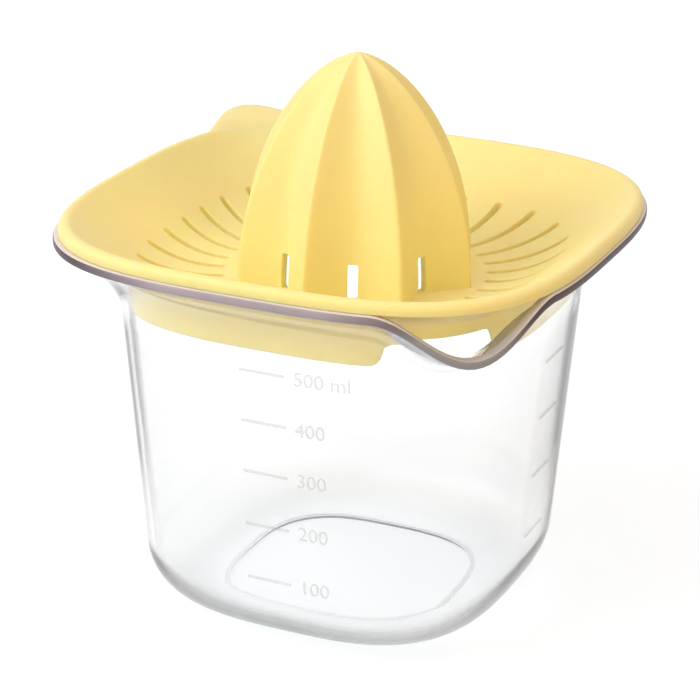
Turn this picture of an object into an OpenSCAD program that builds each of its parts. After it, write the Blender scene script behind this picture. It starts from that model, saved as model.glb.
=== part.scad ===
// Citrus juicer that sits on a measuring jug.
// Two mouldings: a clear jug with a flared lip, a pouring spout and raised volume marks,
// and a yellow juicer with a fluted cone, a strainer dish, a locating skirt and a lift tab.
// Z is up, the origin is on the table under the middle of the jug.
// The spout points to the +X -Y corner and the lift tab to the opposite corner.

/* [Jug] */
// Height of the lip's top face above the table
jug_h = 93.4; // [80:0.2:120]
// Width across the lip, face to face
lip_w = 125; // [116:0.5:140]
// Thickness of the lip
lip_t = 1.9; // [1.4:0.1:2.6]
// Chamfer on the lip's outer edge
lip_edge = 0.5; // [0.2:0.1:0.7]
// Width of the lip's flat top, with its chamfer
lip_seat = 2.4; // [1.8:0.1:3.5]
// Squareness of the lip's outline, 2 is a circle
lip_square = 3.3; // [2.4:0.1:4]
// Width of the body at the table, before its edge is rounded
foot_w = 88.4; // [80:0.2:94]
// Width of the body where the flare begins
body_w = 99.6; // [96:0.2:104]
// Squareness of the body's outline, 2 is a circle
body_square = 3; // [2.4:0.1:4]
// Height of the flare under the lip
flare_h = 18.5; // [14:0.5:24]
// How far the flare leans out at the lip, from upright
flare_lean = 60; // [45:1:75]
// Thickness of the wall
wall_t = 1.3; // [1:0.1:2.2]
// Thickness of the floor
floor_t = 1.4; // [1:0.1:3]
// Radius between the wall and the floor
base_r = 15; // [8:0.5:18]
// Depth of the recess under the floor
foot_recess = 0.8; // [0.4:0.1:1.5]
// Width of the ring that the jug stands on
foot_ring = 2.2; // [1.5:0.1:4]

/* [Spout] */
// How far the lip dips at the spout
spout_drop = 10; // [5:0.5:12]
// Angle that the spout takes up, seen from above
spout_span = 37; // [28:1:44]

/* [Volume marks] */
// Step between the marks on the millilitre face
ml_step = 100; // [50:10:125]
// Number of marks on the millilitre face
ml_count = 5; // [1:1:5]
// Step between the marks on the fluid ounce face, in millilitres
oz_step = 113.6; // [56.8:0.1:118]
// Number of marks on the fluid ounce face
oz_count = 4; // [1:1:4]
// How far the fluid ounce marks sit from the middle of their face
oz_side = 3; // [-8:0.5:8]
// Length of a mark
mark_len = 11; // [6:0.5:16]
// Width of a mark
mark_w = 0.7; // [0.5:0.1:1.2]
// How far a mark stands off the wall
mark_rise = 0.3; // [0.2:0.05:0.6]

/* [Dish] */
// How far the dish's rim sits inside the lip's edge
rim_inset = 1.3; // [0.8:0.1:2]
// Height of the rim above its seat
rim_h = 2.5; // [2:0.1:4]
// Radius over the top of the rim
rim_r = 1.7; // [1:0.1:2]
// Squareness of the rim's outline, 2 is a circle
rim_square = 3.05; // [2.4:0.05:4]
// Depth of the dish, from the rim's crest to its floor
dish_depth = 16.5; // [14:0.1:18]
// Radius of the dish's curve between its floor and its wall
dish_r = 22.4; // [16:0.2:24]
// Thickness of the juicer's shell
shell_t = 1.8; // [1.4:0.1:2.4]
// Number of strainer slots
slot_count = 32; // [16:4:40]
// Width of a strainer slot
slot_w = 1.8; // [1:0.1:2.2]
// Width across the outer ends of the slots
slot_reach = 92.2; // [80:0.2:96]
// Gap between the cone's foot and the slots
slot_start = 1.5; // [1:0.1:3]

/* [Cone] */
// Width across the ridges at the cone's foot
cone_w = 58.4; // [50:0.2:62]
// Height of the cone above the dish floor
cone_h = 52.4; // [40:0.2:60]
// Fullness of the cone's outline, smaller is blunter
cone_taper = 0.65; // [0.5:0.01:0.8]
// Number of flutes
flutes = 8; // [6:1:10]
// Depth of a flute at the cone's foot
flute_depth = 7; // [4:0.1:8]
// Thickness of the cone's wall at a ridge
cone_wall = 2.2; // [1.6:0.1:3]
// Thickness of the cone's tip
tip_t = 3.6; // [2:0.1:6]
// Width of the drain slot at the foot of each flute
drain_w = 2.3; // [1.5:0.1:3]
// Height of a drain slot
drain_h = 8.8; // [5:0.1:12]

/* [Skirt] */
// How far the skirt reaches below its seat
skirt_depth = 17.5; // [16.5:0.1:22]
// Thickness of the skirt
skirt_t = 1.6; // [1.2:0.1:2]
// Width of the notch in the skirt at the spout
notch_w = 26; // [16:0.5:32]
// Height of that notch
notch_h = 6; // [3:0.2:7]
// Radius of the notch's corners
notch_r = 3; // [1:0.2:3.4]

/* [Lift tab] */
// How far the tab reaches past the lip's corner
tab_reach = 10.6; // [6:0.2:14]
// Width of the tab at its tip
tab_w = 17; // [12:0.5:22]
// Width of the tab at its root
tab_root = 24; // [18:0.5:30]
// Thickness of the tab
tab_t = 2.2; // [1.6:0.1:2.4]
// How far the tab climbs towards its tip
tab_rise = 0.8; // [0:0.1:1.5]
// Radius of the blends between the tab and the rim
tab_blend = 7; // [3:0.5:12]

/* [Fits] */
// Gap between the rim and its seat on the lip
seat_gap = 0.3; // [0.2:0.05:0.6]
// Gap between the skirt and the jug's wall
skirt_gap = 0.45; // [0.3:0.05:1]

/* [Hidden] */

// Directions of the faces and corners, seen from above
ml_face = -90;
oz_face = 0;
spout_dir = -45;
tab_dir = 135;

// Number of points round the jug and the juicer
jug_sides = 96;
flute_sides = 8;
juicer_sides = flutes * flute_sides;
// Steps in each curve of a section
curve_steps = 6;
flare_steps = 8;
cone_steps = 13;
bore_steps = 9;
// Sides of the round ends of marks and slots, and of the lift tab's tip
round_fn = 8;
tip_fn = 48;
// Turn along the cone's section at which its small flat tip begins
tip_turn = 89;
// Overlap that makes two joined shapes one
bite = 0.2;
// How far a cut runs past the shell that it opens
past = 2 * shell_t;
// Cubic millimetres in a millilitre
mm3_per_ml = 1000;
// Height of a slice, and angle of a sector, in the sums that place the volume marks
slice = 0.25;
sector = 3;

// Jug sections, as half widths and heights
foot_half = foot_w / 2;
body_half = body_w / 2;
lip_half = lip_w / 2;
lip_z = jug_h - lip_t;
flare_z = lip_z - flare_h;
inside_z = foot_recess + floor_t;
inside_r = base_r - wall_t;
draft = atan((body_half - foot_half) / flare_z);
// Turn from the level floor up to the leaning wall
wall_turn = 90 - draft;

// Juicer sections
seat_z = jug_h + seat_gap;
rim_half = lip_half - rim_inset;
crest_z = seat_z + rim_h;
dish_z = crest_z - dish_depth;
cone_r = cone_w / 2;
well_half = cone_r + slot_start;
// The dish's wall is the straight line that touches both the dish's curve and the rim's curve
dish_mid = [well_half, dish_z + dish_r];
rim_mid = [rim_half - rim_r, crest_z - rim_r];
mids = rim_mid - dish_mid;
dish_lean = asin((dish_r + rim_r) / norm(mids)) + atan2(mids[1], mids[0]);
under_r = dish_r + shell_t;
under_foot = dish_mid + under_r * [sin(dish_lean), -cos(dish_lean)];
under_half = under_foot[0] + (seat_z - under_foot[1]) / tan(dish_lean);
// Height of the dish's underside at a half width, on its curve or on its straight wall
function under_z(half) =
    half < under_foot[0]
        ? dish_mid[1] - sqrt(under_r * under_r - pow(half - dish_mid[0], 2))
        : under_foot[1] + (half - under_foot[0]) * tan(dish_lean);
// Hollow under the cone
bore_r = cone_r - cone_wall;
bore_h = cone_h - tip_t;
// Skirt
skirt_z = seat_z - skirt_depth;
skirt_half = wall_half(skirt_z) - wall_t - skirt_gap;
skirt_in = skirt_half - skirt_t;
// Lift tab
corner_r = corner(lip_half, lip_square);
tab_tip = corner_r + tab_reach;
tab_start = corner(rim_mid[0], rim_square);

// Radius of a rounded square of half width 1 and squareness n, at angle t
function square_r(n, t) = pow(pow(abs(cos(t)), n) + pow(abs(sin(t)), n), -1 / n);
// Distance from the middle to the corner of a rounded square
function corner(half, n) = half * square_r(n, 45);
// Ring of points on a rounded square, at one height
function ring(half, n, z, sides) =
    [for (i = [0:sides - 1])
        let (t = 360 * i / sides, r = half * square_r(n, t))
        [r * cos(t), r * sin(t), z]];
// Outline of a rounded square
function outline(half, n, sides) = [for (p = ring(half, n, 0, sides)) [p[0], p[1]]];
// Smaller angle between two directions
function turn(a, b) = abs((a - b + 540) % 360 - 180);

// Half width of the body's straight wall at a height
function wall_half(z) = foot_half + (body_half - foot_half) * z / flare_z;
// How far the lip lies below its own level at an angle: deepest at the spout
function lip_dip(t) =
    let (off = min(1, 2 * turn(t, spout_dir) / spout_span)) spout_drop * pow(cos(90 * off), 2);

// Ring of the jug's flare at a share s of its way up, offset inwards and upwards by a thickness
function flare_ring(s, inset) =
    let (a = flare_lean * s)
    let (out = (1 - cos(a)) / (1 - cos(flare_lean)))
    let (up = sin(a) / sin(flare_lean))
    let (n = body_square + (lip_square - body_square) * s)
    let (half = body_half + (lip_half - body_half) * out - inset * cos(90 * s))
    let (lift = inset * sin(90 * s))
    [for (i = [0:jug_sides - 1])
        let (t = 360 * i / jug_sides, r = half * square_r(n, t))
        [r * cos(t), r * sin(t), flare_z + (flare_h - lip_dip(t)) * up + lift]];
// Ring on the lip's edge, at a distance in from it and above the lip's lower face
function lip_ring(inset, lift) =
    [for (i = [0:jug_sides - 1])
        let (t = 360 * i / jug_sides, r = (lip_half - inset) * square_r(lip_square, t))
        [r * cos(t), r * sin(t), lip_z - lip_dip(t) + lift]];
// Half width at the middle of a rounding that touches the floor and the leaning wall
function base_mid(r, floor_z, wall_in) = wall_half(floor_z + r) - wall_in - r / cos(draft);
// Ring on that rounding, at angle a up from the floor
function base_ring(r, floor_z, wall_in, a) =
    ring(base_mid(r, floor_z, wall_in) + r * sin(a), body_square, floor_z + r * (1 - cos(a)), jug_sides);

// Half width of the jug's inside at a height, on the rounding or above it
function inside_half(z) =
    let (drop = inside_z + inside_r - z)
    drop > inside_r * sin(draft)
        ? base_mid(inside_r, inside_z, wall_t) + sqrt(max(0, inside_r * inside_r - drop * drop))
        : wall_half(z) - wall_t;
// Area of a rounded square of half width 1, from the thin sectors of its four quarters
sector_rs = [for (t = [sector / 2:sector:90]) square_r(body_square, t)];
unit_area = 4 * (sector_rs * sector_rs) * sin(sector) / 2;
// Height at which the jug holds a volume, counted up slice by slice
function fill_z(volume, z = inside_z) =
    volume <= 0 || z > flare_z
        ? z
        : fill_z(volume - unit_area * pow(inside_half(z), 2) * slice, z + slice);

// Radius of the cone's section, as a share of its ridge: 1 on a ridge, least in a flute
function flute_share(t) =
    let (u = (t * flutes / 180) % 2 - 1)
    1 - flute_depth / cone_r * (1 - u * u);
// Ring of a fluted cone at a share s of its height, from its foot
function cone_ring(r, h, s) =
    let (ridge = r * pow(1 - s * s, cone_taper))
    [for (i = [0:juicer_sides - 1])
        let (t = 360 * i / juicer_sides, k = ridge * flute_share(t))
        [k * cos(t), k * sin(t), dish_z + h * s]];
// Squareness of the dish, round at the cone and square at the rim
function dish_square(half) =
    let (way = (half - well_half) / (dish_mid[0] + dish_r * sin(dish_lean) - well_half))
    2 + (rim_square - 2) * max(0, min(1, way));
// Ring of the dish through a point of its section
function dish_ring(p) = ring(p[0], dish_square(p[0]), p[1], juicer_sides);

// Faces between rings of equal length, closed at both ends
function skin_faces(rings, sides) = concat(
    [[for (i = [0:sides - 1]) i]],
    [for (k = [0:rings - 2], i = [0:sides - 1])
        let (j = (i + 1) % sides) [k * sides + i, (k + 1) * sides + i, (k + 1) * sides + j]],
    [for (k = [0:rings - 2], i = [0:sides - 1])
        let (j = (i + 1) % sides) [k * sides + i, (k + 1) * sides + j, k * sides + j]],
    [[for (i = [sides - 1:-1:0]) (rings - 1) * sides + i]]
);

// Solid inside a list of rings that run up the outside and back down the inside
module skin(rings) {
    sides = len(rings[0]);
    polyhedron([for (r = rings) each r], skin_faces(len(rings), sides));
}

// Jug wall, floor, flare, lip and spout in one shell
module jug_shell() {
    ring_half = base_mid(base_r, 0, 0);
    skin(concat(
        [ring(ring_half - foot_ring, body_square, foot_recess, jug_sides)],
        [ring(ring_half - foot_ring, body_square, 0, jug_sides)],
        [for (i = [0:curve_steps]) base_ring(base_r, 0, 0, wall_turn * i / curve_steps)],
        [for (i = [0:flare_steps]) flare_ring(i / flare_steps, 0)],
        [lip_ring(0, lip_t - lip_edge), lip_ring(lip_edge, lip_t), lip_ring(lip_seat, lip_t)],
        [for (i = [flare_steps - 1:-1:0]) flare_ring(i / flare_steps, wall_t)],
        [for (i = [curve_steps:-1:0])
            base_ring(inside_r, inside_z, wall_t, wall_turn * i / curve_steps)]
    ));
}

// One raised mark at a volume, on the face that looks towards dir and to one side of its middle
module mark(dir, side_shift, ml) {
    z = fill_z(ml * mm3_per_ml);
    rotate([0, 0, dir])
        translate([wall_half(z) - bite, side_shift, z])
            hull()
                for (side = [-1, 1])
                    translate([0, side * (mark_len - mark_w) / 2, 0])
                        rotate([0, 90, 0])
                            cylinder(d = mark_w, h = bite + mark_rise, $fn = round_fn);
}

// Clear measuring jug
module jug() {
    color([0.86, 0.89, 0.9, 0.45])
        union() {
            jug_shell();
            for (i = [1:ml_count])
                mark(ml_face, 0, i * ml_step);
            for (i = [1:oz_count])
                mark(oz_face, oz_side, i * oz_step);
        }
}

// Cone and dish in one shell, hollow under the cone
module squeezer_shell() {
    skin(concat(
        [for (i = [bore_steps:-1:1]) cone_ring(bore_r, bore_h, sin(tip_turn * i / bore_steps))],
        [[for (p = cone_ring(bore_r, bore_h, 0)) [p[0], p[1], dish_z - shell_t]]],
        [for (i = [0:curve_steps])
            let (a = dish_lean * i / curve_steps)
            dish_ring(dish_mid + under_r * [sin(a), -cos(a)])],
        [dish_ring([under_half, seat_z]), dish_ring([rim_half, seat_z])],
        [for (i = [0:curve_steps])
            let (a = (90 + dish_lean) * i / curve_steps)
            dish_ring(rim_mid + rim_r * [cos(a), sin(a)])],
        [for (i = [curve_steps:-1:0])
            let (a = dish_lean * i / curve_steps)
            dish_ring(dish_mid + dish_r * [sin(a), -cos(a)])],
        [for (i = [0:cone_steps]) cone_ring(cone_r, cone_h, sin(tip_turn * i / cone_steps))]
    ));
}

// Strainer slots that run from the cone up the dish's wall
module strainer_slots() {
    for (i = [0:slot_count - 1]) {
        t = 360 * i / slot_count;
        reach = slot_reach / 2 * square_r(rim_square, t) - slot_w / 2;
        rotate([0, 0, t])
            hull()
                for (r = [well_half + slot_w / 2, reach])
                    translate([r, 0, dish_z - past])
                        cylinder(d = slot_w, h = dish_depth, $fn = round_fn);
    }
}

// Upright drain slots at the foot of the flutes
module drain_slots() {
    valley = cone_r - flute_depth;
    for (i = [0:flutes - 1])
        rotate([0, 0, 360 * (i + 0.5) / flutes])
            hull()
                for (z = [drain_w / 2, drain_h - drain_w / 2])
                    translate([valley - past, 0, dish_z + z])
                        rotate([0, 90, 0])
                            cylinder(d = drain_w, h = 2 * past, $fn = round_fn);
}

// Opening of the skirt's notch, with round corners at its top and at its foot
module notch_outline() {
    offset(r = notch_r)
        offset(r = -2 * notch_r)
            offset(delta = notch_r)
                union() {
                    translate([-notch_w / 2, -2 * notch_h])
                        square([notch_w, 3 * notch_h]);
                    translate([-2 * notch_w, -2 * notch_h])
                        square([4 * notch_w, 2 * notch_h]);
                }
}

// Skirt that locates the juicer in the jug, notched where the juice pours
module skirt() {
    outer_top = under_z(skirt_half) + bite;
    inner_top = under_z(skirt_in) + bite;
    difference() {
        skin([
            ring(skirt_half, body_square, skirt_z, juicer_sides),
            ring(skirt_half, body_square, outer_top, juicer_sides),
            ring(skirt_in, body_square, inner_top, juicer_sides)
        ]);
        skin([
            ring(skirt_in, body_square, skirt_z - bite, juicer_sides),
            ring(skirt_in, body_square, outer_top + bite, juicer_sides)
        ]);
        rotate([0, 0, spout_dir])
            translate([0, 0, skirt_z])
                rotate([90, 0, 90])
                    linear_extrude(lip_w)
                        notch_outline();
    }
}

// Lift tab in plan: a round-ended tongue that blends into the rim
module tab_outline() {
    tip_r = tab_w / 2;
    difference() {
        offset(r = -tab_blend)
            offset(delta = tab_blend)
                union() {
                    polygon(outline(rim_half - bite, rim_square, juicer_sides));
                    rotate(tab_dir)
                        hull() {
                            translate([tab_tip - tip_r, 0])
                                circle(tip_r, $fn = tip_fn);
                            translate([tab_start, -tab_root / 2])
                                square([bite, tab_root]);
                        }
                }
        polygon(outline(rim_mid[0], rim_square, juicer_sides));
        rotate(tab_dir)
            translate([tab_start - tab_blend / 2 - 2 * lip_w, -lip_w])
                square([2 * lip_w, 2 * lip_w]);
    }
}

// Lift tab, which climbs a little towards its tip
module lift_tab() {
    climb = tab_rise / (tab_tip - tab_start);
    lean = climb * [cos(tab_dir), sin(tab_dir)];
    multmatrix([
        [1, 0, 0, 0],
        [0, 1, 0, 0],
        [lean[0], lean[1], 1, crest_z - tab_t - climb * tab_start]
    ])
        linear_extrude(tab_t)
            tab_outline();
}

// Yellow juicer
module juicer() {
    color([0.96, 0.84, 0.42])
        union() {
            difference() {
                squeezer_shell();
                strainer_slots();
                drain_slots();
            }
            skirt();
            lift_tab();
        }
}

jug();
juicer();
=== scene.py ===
# %% [markdown]
# # A citrus juicer on its measuring jug
# Two plastic mouldings make this kitchen tool: a clear jug with a pouring spout, and a yellow juicer that
# sits in its mouth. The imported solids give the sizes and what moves. This lesson models both again with
# finer curves, gives them their plastics and lights them as in a studio.

# %% Load the frame
import math

import bmesh
import bpy
from mathutils import Matrix, Vector


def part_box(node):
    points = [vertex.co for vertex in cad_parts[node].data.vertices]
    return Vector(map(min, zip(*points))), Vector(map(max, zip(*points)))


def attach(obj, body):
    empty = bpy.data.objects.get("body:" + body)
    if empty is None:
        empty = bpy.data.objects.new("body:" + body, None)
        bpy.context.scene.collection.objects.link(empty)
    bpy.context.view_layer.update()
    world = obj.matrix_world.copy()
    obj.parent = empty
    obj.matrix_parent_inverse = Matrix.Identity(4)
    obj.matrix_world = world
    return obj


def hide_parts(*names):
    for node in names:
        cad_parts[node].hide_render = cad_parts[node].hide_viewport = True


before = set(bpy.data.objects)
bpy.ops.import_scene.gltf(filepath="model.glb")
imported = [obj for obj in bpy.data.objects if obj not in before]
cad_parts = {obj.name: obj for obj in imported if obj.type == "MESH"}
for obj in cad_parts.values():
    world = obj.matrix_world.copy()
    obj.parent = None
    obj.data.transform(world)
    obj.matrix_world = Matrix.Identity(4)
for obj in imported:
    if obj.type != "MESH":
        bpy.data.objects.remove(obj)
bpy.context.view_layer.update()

scene = bpy.context.scene
MM = 0.001

# %% [markdown]
# ## The camera
# The photograph was taken with a long lens, a little above the rim. Its angle, distance and lens were
# worked out from the outlines and the marks. A camera could be aimed with a constraint, but a rotation
# matrix made from its own three axes also holds the slight roll of the frame.

# %% Camera axes
view_azimuth = math.radians(24.134)
view_elevation = math.radians(21.599)
view_roll = math.radians(0.790)

level = Vector((math.cos(view_azimuth), math.sin(view_azimuth), 0))
ahead = Vector((-level.y, level.x, 0))
back = Vector((0, 0, math.sin(view_elevation))) - ahead * math.cos(view_elevation)
right = level * math.cos(view_roll) + back.cross(level) * math.sin(view_roll)
up = back.cross(right)
print("the camera looks from", [round(c, 3) for c in back])

# %% Camera
view_distance = 599.31 * MM
view_target = Vector((0, 0, 59.149 * MM))
image_side = 700
lens_pixels = 2514.67
image_shift = (4.458, 0.117)
sensor_width = 36

lens = bpy.data.cameras.new("camera")
lens.sensor_width = sensor_width
lens.lens = sensor_width * lens_pixels / image_side
lens.shift_x = -image_shift[0] / image_side
lens.shift_y = image_shift[1] / image_side
camera = bpy.data.objects.new("camera", lens)
turn = Matrix((right, up, back)).transposed().to_4x4()
camera.matrix_world = Matrix.Translation(view_target + view_distance * back) @ turn
scene.collection.objects.link(camera)
scene.camera = camera
print("camera at", [round(c / MM, 1) for c in camera.location], "mm, lens", round(lens.lens, 1))

# %% [markdown]
# ## What the plastics share
# Injection moulding leaves the same faint marks on any plastic: slow swirls where the melt flowed, and a
# fine grain from the steel. Each finish could have its own noises, but one node group gives both, so that
# the two mouldings look like the work of one maker.

# %% Moulded surface group
def moulded_surface():
    """Node group with the slow flow and the fine grain of a moulding, both from 0 to 1."""
    group = bpy.data.node_groups.new("moulded surface", "ShaderNodeTree")
    for name in ("Flow Scale", "Grain Scale"):
        group.interface.new_socket(name, in_out="INPUT", socket_type="NodeSocketFloat")
    for name in ("Flow", "Grain"):
        group.interface.new_socket(name, in_out="OUTPUT", socket_type="NodeSocketFloat")
    inlet = group.nodes.new("NodeGroupInput")
    outlet = group.nodes.new("NodeGroupOutput")
    place = group.nodes.new("ShaderNodeTexCoord")
    for name, detail, distortion in (("Flow", 2, 0.6), ("Grain", 3, 0)):
        noise = group.nodes.new("ShaderNodeTexNoise")
        noise.inputs["Detail"].default_value = detail
        noise.inputs["Distortion"].default_value = distortion
        group.links.new(place.outputs["Object"], noise.inputs["Vector"])
        group.links.new(inlet.outputs[name + " Scale"], noise.inputs["Scale"])
        group.links.new(noise.outputs["Fac"], outlet.inputs[name])
    return group


surface_group = moulded_surface()
print("group:", surface_group.name, [s.name for s in surface_group.interface.items_tree])


# %% Material helpers
def new_material(name):
    """A material with its node tree, its Principled shader and its output."""
    material = bpy.data.materials.new(name)
    material.use_nodes = True
    nodes = material.node_tree.nodes
    return material, material.node_tree, nodes["Principled BSDF"], nodes["Material Output"]


def feed(tree, node, values):
    """Gives a node's inputs their values by name: an output is linked, anything else is set."""
    for name, value in values.items():
        if isinstance(value, bpy.types.NodeSocket):
            tree.links.new(value, node.inputs[name])
        else:
            node.inputs[name].default_value = value


def add_surface(tree, flow_size, grain_size):
    """The outputs of the moulded surface group, by name, for features of those sizes."""
    surface = tree.nodes.new("ShaderNodeGroup")
    surface.node_tree = surface_group
    feed(tree, surface, {"Flow Scale": 1 / flow_size, "Grain Scale": 1 / grain_size})
    return surface.outputs


def blend_colours(tree, factor, first, second):
    """Output that runs from the first colour, or from another output, to the second colour."""
    mix = tree.nodes.new("ShaderNodeMix")
    mix.data_type = "RGBA"
    colours = [s for s in mix.inputs if s.type == "RGBA"]
    if isinstance(first, bpy.types.NodeSocket):
        tree.links.new(first, colours[0])
    else:
        colours[0].default_value = (*first, 1)
    colours[1].default_value = (*second, 1)
    tree.links.new(factor, mix.inputs["Factor"])
    return next(s for s in mix.outputs if s.type == "RGBA")


def spread_value(tree, factor, low, high, ends=(0, 1)):
    """Output that runs from low to high as the factor goes from one end to the other."""
    spread = tree.nodes.new("ShaderNodeMapRange")
    names = ("Value", "From Min", "From Max", "To Min", "To Max")
    feed(tree, spread, dict(zip(names, (factor, *ends, low, high))))
    return spread.outputs["Result"]


def add_bump(tree, shader, height, strength, depth):
    """Fine relief on a shader's normal."""
    bump = tree.nodes.new("ShaderNodeBump")
    feed(tree, bump, {"Height": height, "Strength": strength, "Distance": depth})
    feed(tree, shader, {"Normal": bump.outputs["Normal"]})


# %% [markdown]
# ## The yellow plastic
# The juicer is a satin, slightly waxy plastic: its lit sides are a pale lemon yellow, and its hollows turn
# to a warm orange. The orange could be painted in, but it comes by itself where light bounces from wall to
# wall, because the plastic takes out more of the blue at each bounce. Some of the light also scatters below
# the skin, the red part the furthest, and softens the shade.

# %% Yellow plastic
lemon = (0.92, 0.80, 0.335)
pale_lemon = (0.94, 0.84, 0.375)
scatter_share = 0.5
scatter_radius = (1, 0.3, 0.08)
scatter_depth = 3 * MM


def yellow_plastic():
    material, tree, shader, _ = new_material("yellow plastic")
    surface = add_surface(tree, flow_size=28 * MM, grain_size=0.5 * MM)
    feed(tree, shader, {
        "Base Color": blend_colours(tree, surface["Flow"], lemon, pale_lemon),
        "Roughness": spread_value(tree, surface["Flow"], low=0.36, high=0.5),
        "Specular IOR Level": 0.3,
        "Subsurface Weight": scatter_share,
        "Subsurface Radius": scatter_radius,
        "Subsurface Scale": scatter_depth,
    })
    add_bump(tree, shader, surface["Grain"], strength=0.06, depth=0.02 * MM)
    return material


yellow = yellow_plastic()
print("material:", yellow.name)

# %% [markdown]
# ## The clear plastic
# The jug is water-clear plastic that shows mainly by its edges: there the light runs a long way through the
# material and comes out grey. Grey painted at fixed places along the edges would be wrong from other sides.
# Here a volume absorbs a little light, and a grey shade is painted into the wall's colour where it is seen
# at a slant: light grey on the wall and near black at the edges. The rounding at its base is duller than
# the wall. Shadow rays pass straight through, because light that is bent by a thin wall still lands near
# where it was going. The painted shade and the dullness depend on the place on the jug, so a second node
# group gives each place's distance from the upright axis and its height.

# %% Round place group
def round_place():
    """Node group with a place's distance from the upright axis and its height, both in metres."""
    group = bpy.data.node_groups.new("round place", "ShaderNodeTree")
    for name in ("Reach", "Height"):
        group.interface.new_socket(name, in_out="OUTPUT", socket_type="NodeSocketFloat")
    outlet = group.nodes.new("NodeGroupOutput")
    place = group.nodes.new("ShaderNodeTexCoord")
    axes = group.nodes.new("ShaderNodeSeparateXYZ")
    level = group.nodes.new("ShaderNodeCombineXYZ")
    reach = group.nodes.new("ShaderNodeVectorMath")
    reach.operation = "LENGTH"
    group.links.new(place.outputs["Object"], axes.inputs["Vector"])
    for name in ("X", "Y"):
        group.links.new(axes.outputs[name], level.inputs[name])
    group.links.new(level.outputs["Vector"], reach.inputs[0])
    group.links.new(reach.outputs["Value"], outlet.inputs["Reach"])
    group.links.new(axes.outputs["Z"], outlet.inputs["Height"])
    return group


place_group = round_place()
print("group:", place_group.name, [s.name for s in place_group.interface.items_tree])

# %% Painted shade of the clear wall at a slant
# Painted shade: greys mixed into the wall's colour where it is seen at a slant, light on the wall and near
# black at the edges.
slant_shade_grey = (0.84, 0.84, 0.84)
slant_shade_slants = (0.3, 0.7)
edge_grey = (0.01, 0.01, 0.01)
edge_slants = (0.70, 0.80)
tint_start = (16 * MM, 40 * MM)
tint_stop = (77 * MM, 71 * MM)


def add_place(tree):
    """The outputs of the round place group, by name."""
    place = tree.nodes.new("ShaderNodeGroup")
    place.node_tree = place_group
    return place.outputs


def combine(tree, operation, first, second):
    """Output with the result of an operation on two outputs."""
    result = tree.nodes.new("ShaderNodeMath")
    result.operation = operation
    tree.links.new(first, result.inputs[0])
    tree.links.new(second, result.inputs[1])
    return result.outputs[0]


def tint_wall(tree, colour, facing, height):
    """Output with the colour and a painted grey shade at a slant, on the wall between the base and the
    flare.
    """
    over_base = spread_value(tree, height, 0, 1, tint_start)
    under_flare = spread_value(tree, height, 0, 1, tint_stop)
    wall = combine(tree, "MULTIPLY", over_base, under_flare)
    for slants, grey in ((slant_shade_slants, slant_shade_grey), (edge_slants, edge_grey)):
        slant = spread_value(tree, facing, 0, 1, slants)
        colour = blend_colours(tree, combine(tree, "MULTIPLY", slant, wall), colour, grey)
    return colour


# %% Shadows of the clear wall
shadow_pale = (0.98, 0.98, 0.98)
shadow_grey = (0.5, 0.5, 0.5)
shadow_slants = (0.5, 1)


def pass_shadows(tree, shader, facing):
    """Output with the shader, which lets shadow rays straight through, dimmer at a slant."""
    light = tree.nodes.new("ShaderNodeLightPath")
    passing = tree.nodes.new("ShaderNodeBsdfTransparent")
    slant = spread_value(tree, facing, 0, 1, shadow_slants)
    tree.links.new(blend_colours(tree, slant, shadow_pale, shadow_grey), passing.inputs["Color"])
    mix = tree.nodes.new("ShaderNodeMixShader")
    tree.links.new(light.outputs["Is Shadow Ray"], mix.inputs["Fac"])
    tree.links.new(shader.outputs["BSDF"], mix.inputs[1])
    tree.links.new(passing.outputs["BSDF"], mix.inputs[2])
    return mix.outputs["Shader"]


# %% Clear plastic
water_clear = (0.97, 0.97, 0.97)
pale_clear = (0.995, 0.995, 0.995)
base_dullness = 0.3
base_heights = (0, 20 * MM)
floor_share = 0.3
floor_reach = (30 * MM, 42 * MM)
absorbed_tint = (0.50, 0.45, 0.51, 1)
absorbed_density = 8


def clear_plastic():
    material, tree, shader, output = new_material("clear plastic")
    surface = add_surface(tree, flow_size=30 * MM, grain_size=1.2 * MM)
    layer = tree.nodes.new("ShaderNodeLayerWeight")
    layer.inputs["Blend"].default_value = 0.5
    facing = layer.outputs["Facing"]
    place = add_place(tree)
    plain = blend_colours(tree, surface["Flow"], water_clear, pale_clear)
    base = spread_value(tree, place["Height"], base_dullness, 0, base_heights)
    outside = spread_value(tree, place["Reach"], floor_share, 1, floor_reach)
    # The base colour carries the painted grey shade at a slant.
    feed(tree, shader, {
        "Base Color": tint_wall(tree, plain, facing, place["Height"]),
        "Roughness": combine(tree, "MULTIPLY", base, outside),
        "Transmission Weight": 1,
        "IOR": 1.5,
    })
    add_bump(tree, shader, surface["Flow"], strength=0.15, depth=0.4 * MM)
    absorption = tree.nodes.new("ShaderNodeVolumeAbsorption")
    feed(tree, absorption, {"Color": absorbed_tint, "Density": absorbed_density})
    feed(tree, output, {
        "Surface": pass_shadows(tree, shader, facing),
        "Volume": absorption.outputs["Volume"],
    })
    return material


clear = clear_plastic()
print("material:", clear.name)

# %% [markdown]
# ## The lip's painted band
# The lip ends in a square edge that is made a dull, opaque plastic, so it hides the light that the clear
# plastic guides to it. The band of mauve grey that it shows is painted shade, with a paler painted
# highlight along the top. The painted shade is darker at the corners and along one side, and a cooler grey
# at the spout. More absorption could darken the edge, but it would then turn black where the light runs
# furthest, so the lip has plastics of its own. One more, partly see-through, carries a painted pale grey on
# the step under the foot, which shows as a pale line.

# %% Plastic for painted shade and highlight
# A dull plastic that carries the painted shade and highlight of the lip and the painted line at the foot.
def painted_plastic(name, dark, pale):
    material, tree, shader, _ = new_material(name)
    surface = add_surface(tree, flow_size=16 * MM, grain_size=0.5 * MM)
    feed(tree, shader, {
        "Base Color": blend_colours(tree, surface["Flow"], dark, pale),
        "Roughness": spread_value(tree, surface["Grain"], low=0.3, high=0.45),
        "Specular IOR Level": 0.2,
    })
    add_bump(tree, shader, surface["Grain"], strength=0.1, depth=0.03 * MM)
    return material


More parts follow.
